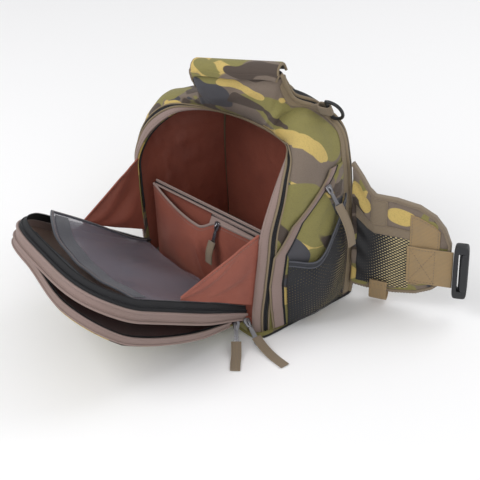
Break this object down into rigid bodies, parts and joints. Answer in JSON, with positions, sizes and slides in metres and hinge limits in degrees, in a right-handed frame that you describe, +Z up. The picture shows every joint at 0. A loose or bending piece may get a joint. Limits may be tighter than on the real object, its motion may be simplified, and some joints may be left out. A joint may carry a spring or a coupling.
{
  "type": "fishing tackle sling bag",
  "caption": "Sling bag for fishing tackle: cloth body with padded back, flap that folds down as a tray, zipped and net pockets, waist wings with a buckle, shoulder strap and D-ring.",
  "frame": {"origin": "middle of the base panel's underside, on the floor", "axes": "+Z up, -Y to the opening and the flap, +X towards the wing at the viewer's right when facing the opening"},
  "size_m": [0.5207, 0.4574, 0.2995],
  "materials": {
    "camo_cloth": "woven camouflage polyester",
    "taupe_cloth": "taupe cloth trim",
    "rose_lining": "terracotta nylon lining",
    "brown_lining": "brown coated lining",
    "black_cloth": "black cloth, tape and net",
    "webbing": "khaki webbing",
    "black_plastic": "moulded black plastic",
    "steel": "nickel plated",
    "clear_film": "clear soft film"
  },
  "bodies": {
    "bag": {"main_shell": "camo_cloth", "arch_trim": "taupe_cloth", "edge_binding_right": "taupe_cloth", "edge_binding_left": "taupe_cloth", "arch_zip_tape": "black_cloth", "main_lining": "rose_lining", "base_panel": "camo_cloth", "floor_lining": "rose_lining", "flap_shell": "camo_cloth", "flap_lining": "brown_lining", "flap_trim": "taupe_cloth", "flap_zip_tape": "black_cloth", "front_sill": "camo_cloth", "front_pocket_trim": "taupe_cloth", "front_pocket_tape": "black_cloth", "front_pocket_shell": "camo_cloth", "flap_elastic": "black_cloth", "clear_pocket_film": "clear_film", "clear_pocket_binding": "black_cloth", "gusset_right": "rose_lining", "gusset_left": "rose_lining", "divider_pocket_back": "rose_lining", "divider_pocket_front": "rose_lining", "divider_zip_tape": "taupe_cloth", "back_panel": "black_cloth", "back_lining": "rose_lining", "neck_fold": "camo_cloth", "shoulder_strap": "black_cloth", "strap_webbing_lower": "webbing", "strap_webbing_upper": "webbing", "strap_adjuster": "black_plastic", "side_trim_right": "taupe_cloth", "side_pocket_right": "camo_cloth", "side_trim_left": "taupe_cloth", "side_pocket_left": "camo_cloth", "mesh_pocket": "black_cloth", "mesh_hem": "black_cloth", "wing_right": "camo_cloth", "wing_binding_right": "webbing", "wing_patch_right": "webbing", "wing_left": "camo_cloth", "wing_binding_left": "webbing", "wing_patch_left": "webbing", "wing_mesh": "black_cloth", "wing_band": "webbing", "belt_webbing_right": "webbing", "buckle_female": "black_plastic", "belt_webbing_left": "webbing", "buckle_male": "black_plastic", "wing_loop": "webbing", "d_ring_loop": "webbing", "main_slider": "steel", "main_pull": "webbing", "pocket_slider": "steel", "pocket_pull": "webbing", "divider_slider": "steel", "divider_pull": "webbing", "side_slider": "steel", "side_pull": "webbing"},
    "ring": {"d_ring": "black_plastic"}
  },
  "joints": [
    {"name": "ring_swing", "type": "hinge", "parent": "bag", "child": "ring", "pos_m": [0.07942, 0.06221, 0.24342], "axis": [-0.1, 0.5001, -0.8602], "range_deg": [-45, 45]}
  ]
}
